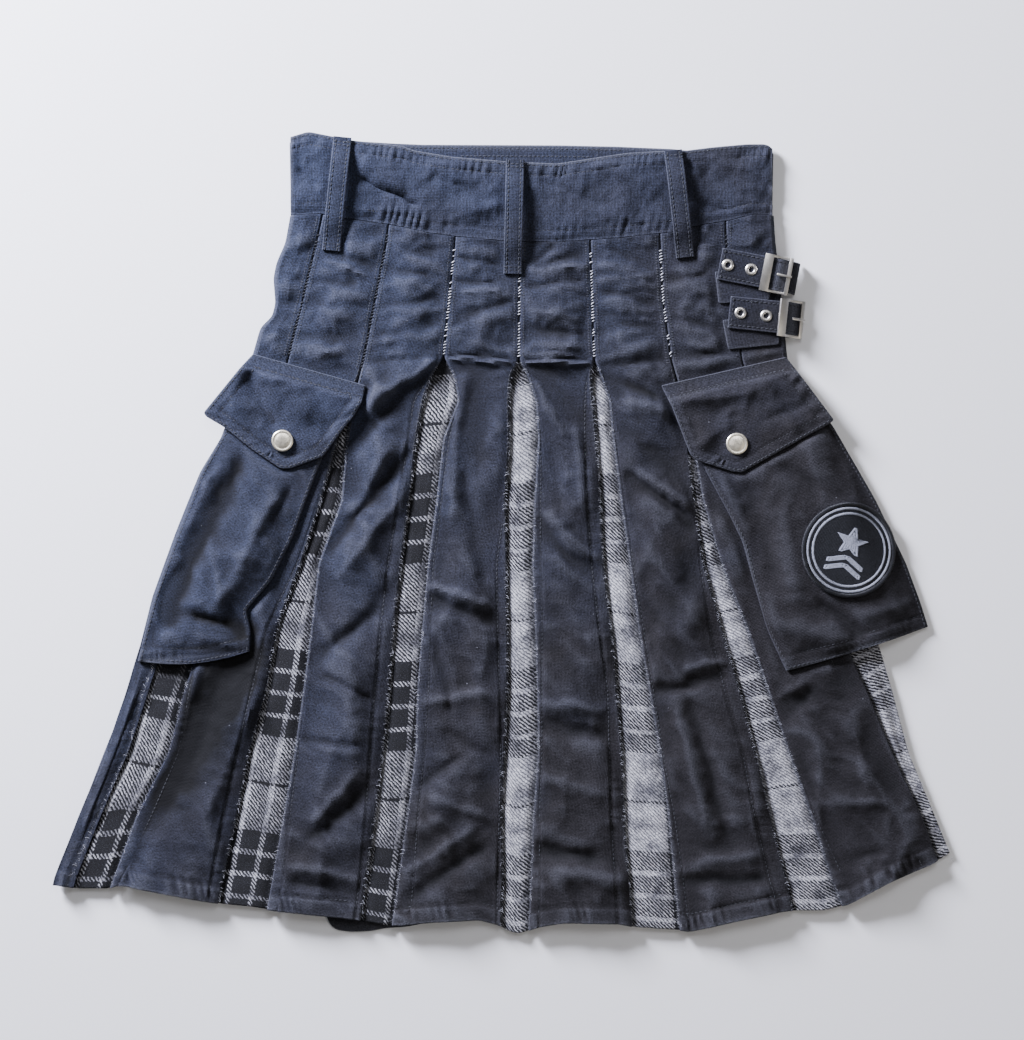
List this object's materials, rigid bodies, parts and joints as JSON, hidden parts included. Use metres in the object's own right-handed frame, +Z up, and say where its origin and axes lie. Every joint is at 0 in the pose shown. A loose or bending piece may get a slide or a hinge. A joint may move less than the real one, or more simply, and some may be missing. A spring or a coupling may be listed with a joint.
{
  "type": "utility kilt laid flat",
  "caption": "Hybrid utility kilt laid flat, pleated side up: black canvas yoke and pleats over plaid wool inserts, snap cargo pockets, belt loops and buckled side straps.",
  "frame": {"origin": "centre of the kilt's outline, on the surface that it lies on", "axes": "+X to the right of the pleated side as seen, +Y from the hem to the waist, +Z up off the surface"},
  "size_m": [0.7102, 0.6369, 0.0157],
  "materials": {
    "canvas": "matt cotton canvas, soot black with a cool cast",
    "plaid_wool": "twill wool in black, grey and white plaid",
    "badge": "embroidered twill in black and greys",
    "snap_metal": "polished pale nickel brass",
    "buckle_metal": "nickel plated steel"
  },
  "bodies": {
    "root": {"apron": "canvas", "apron_waistband": "canvas", "waistband": "canvas", "panel_0": "canvas", "panel_1": "canvas", "panel_2": "canvas", "panel_3": "canvas", "panel_4": "canvas", "panel_5": "canvas", "panel_6": "canvas", "panel_7": "canvas", "insert_1": "plaid_wool", "insert_2": "plaid_wool", "insert_3": "plaid_wool", "insert_4": "plaid_wool", "insert_5": "plaid_wool", "insert_6": "plaid_wool", "insert_7": "plaid_wool", "belt_loop_left": "canvas", "belt_loop_centre": "canvas", "belt_loop_right": "canvas", "pocket_left": "canvas", "pocket_right": "canvas", "flap_left": "canvas", "flap_right": "canvas", "snap_left": "snap_metal", "snap_right": "snap_metal", "patch": "badge", "strap_tab_upper": "canvas", "strap_tab_lower": "canvas", "strap_upper": "canvas", "strap_lower": "canvas", "buckle_upper": "buckle_metal", "buckle_lower": "buckle_metal", "prong_upper": "buckle_metal", "prong_lower": "buckle_metal", "eyelet_upper_1": "buckle_metal", "eyelet_upper_2": "buckle_metal", "eyelet_lower_1": "buckle_metal", "eyelet_lower_2": "buckle_metal"}
  },
  "joints": []
}
